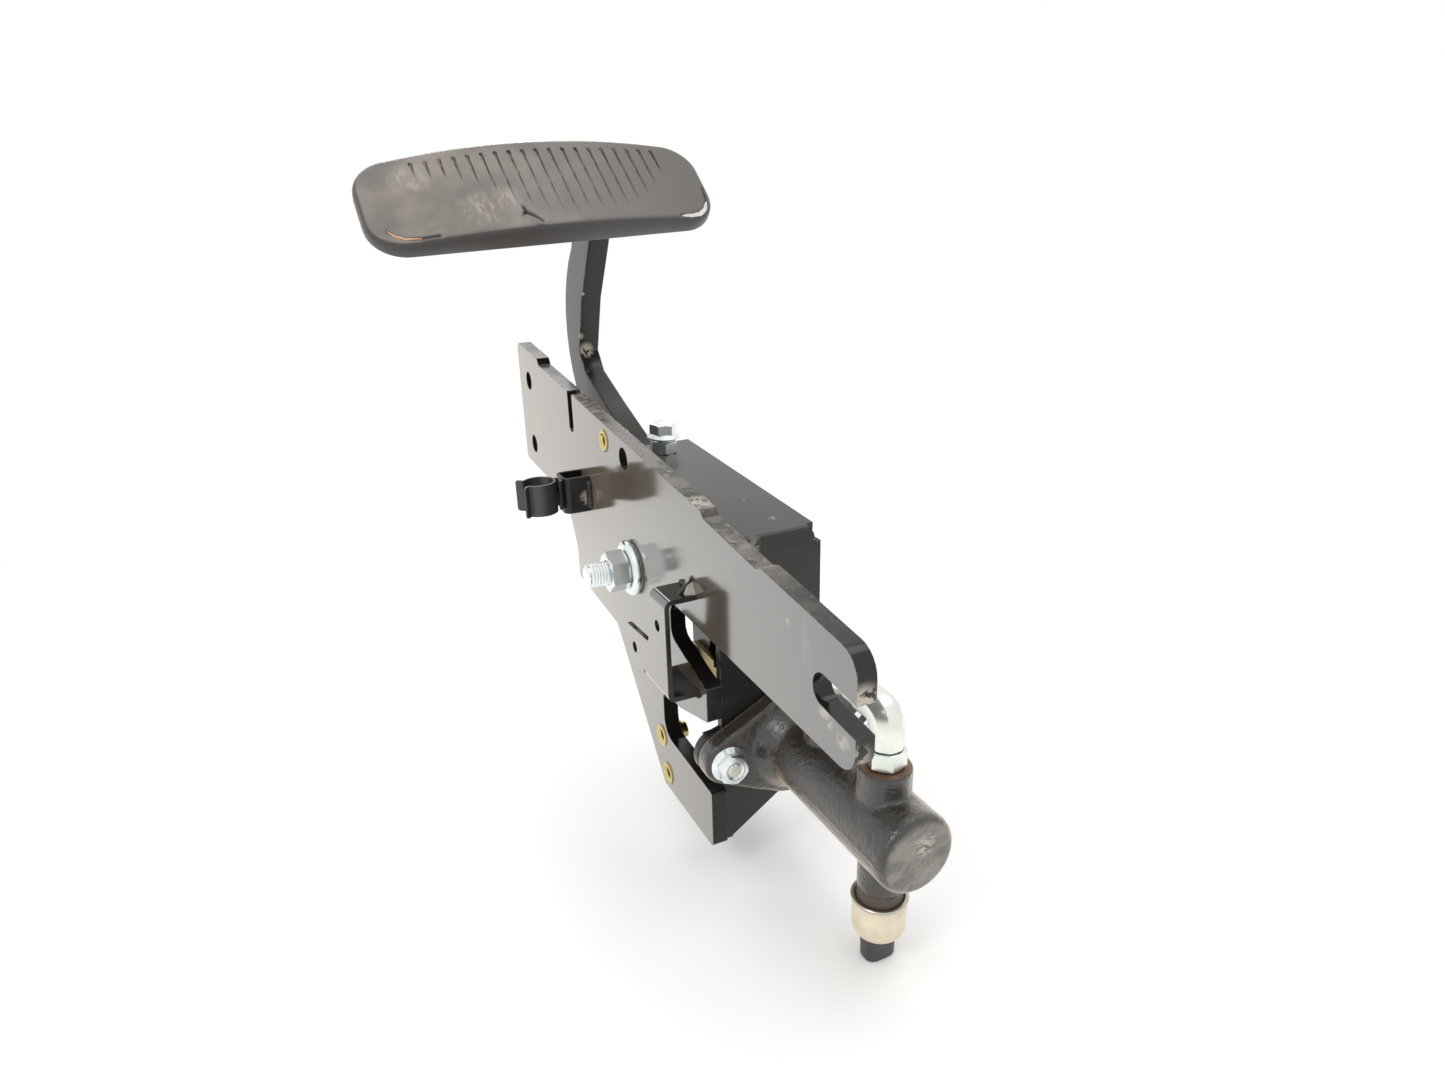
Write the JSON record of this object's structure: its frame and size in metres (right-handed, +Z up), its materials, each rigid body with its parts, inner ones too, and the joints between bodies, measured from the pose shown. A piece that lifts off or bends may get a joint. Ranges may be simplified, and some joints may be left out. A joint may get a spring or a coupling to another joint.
{
  "type": "foot valve",
  "caption": "Treadle foot valve: a grooved rubber pedal on a bent arm pushes the piston of a hydraulic brake valve bolted to a flat mounting plate with a sheet housing.",
  "frame": {"origin": "midway between the two rear frame-bolt holes, on the outer face of the side plate", "axes": "+X along the plate and the valve towards the valve's closed end, +Y from the plate into the housing, +Z up"},
  "size_m": [0.506, 0.2509, 0.4379],
  "materials": {
    "black_paint": "semi-gloss black paint, worn grey-beige along the edges",
    "cast_black": "black paint over a rough casting",
    "bright_zinc": "bright zinc plate",
    "yellow_zinc": "yellow zinc plate",
    "steel": "machined steel",
    "clip_steel": "dark oiled spring steel",
    "bronze": "sintered bronze",
    "pad_rubber": "worn satin black rubber",
    "seal_rubber": "matte black rubber",
    "black_plastic": "moulded black plastic",
    "cream_plastic": "cream moulded plastic"
  },
  "bodies": {
    "frame": {"side_plate": "black_paint", "housing_sheet": "black_paint", "far_wall": "black_paint", "accessory_bracket": "black_paint", "bracket_gusset": "black_paint", "rivet_nuts": "yellow_zinc", "clip_strap": "black_paint", "hose_clip": "clip_steel", "clip_rivet": "clip_steel", "pivot_bolt": "bright_zinc", "pivot_nut": "bright_zinc", "pivot_washer": "bright_zinc", "stop_bolt": "bright_zinc", "stop_nut": "bright_zinc", "rod_boot": "seal_rubber", "valve_body": "cast_black", "flange_gasket": "seal_rubber", "flange_bolts": "bright_zinc", "flange_nuts": "bright_zinc", "piston_spring": "steel", "stop_washer": "steel", "snap_ring": "steel", "elbow_fitting": "bright_zinc", "elbow_nut": "bright_zinc", "elbow_seal": "seal_rubber", "port_plug": "bright_zinc", "switch_body": "cream_plastic", "switch_collar": "black_plastic", "switch_connector": "black_plastic"},
    "pedal": {"pedal_arm": "black_paint", "pedal_hub": "black_paint", "pivot_bushes": "bronze", "push_lever": "black_paint", "pad_plate": "black_paint", "pad_rubber": "pad_rubber", "clevis_pin": "bright_zinc", "cotter_pin": "bright_zinc"},
    "pushrod": {"clevis": "yellow_zinc", "push_rod": "bright_zinc", "rod_nut": "yellow_zinc"},
    "piston": {"piston": "steel", "piston_seals": "seal_rubber"}
  },
  "joints": [
    {"name": "pedal_hinge", "type": "hinge", "parent": "frame", "child": "pedal", "pos_m": [0.219, 0.0405, -0.06], "axis": [0, -1, 0], "range_deg": [0, 15], "stiffness_Nm_per_rad": 12, "springref_deg": -28.65},
    {"name": "rod_pivot", "type": "hinge", "parent": "pedal", "child": "pushrod", "pos_m": [0.20825, 0.0545, -0.14165], "axis": [0, 1, 0], "range_deg": [0, 15]},
    {"name": "piston_slide", "type": "slide", "parent": "frame", "child": "piston", "axis": [1, 0, 0], "range_m": [0, 0.0216], "deforming": ["piston_spring", "rod_boot"]}
  ],
  "couplings": [
    {"joint": "rod_pivot", "follows": "pedal_hinge", "ratio": 1},
    {"joint": "piston_slide", "follows": "pedal_hinge", "m_per_rad": 0.082117}
  ]
}
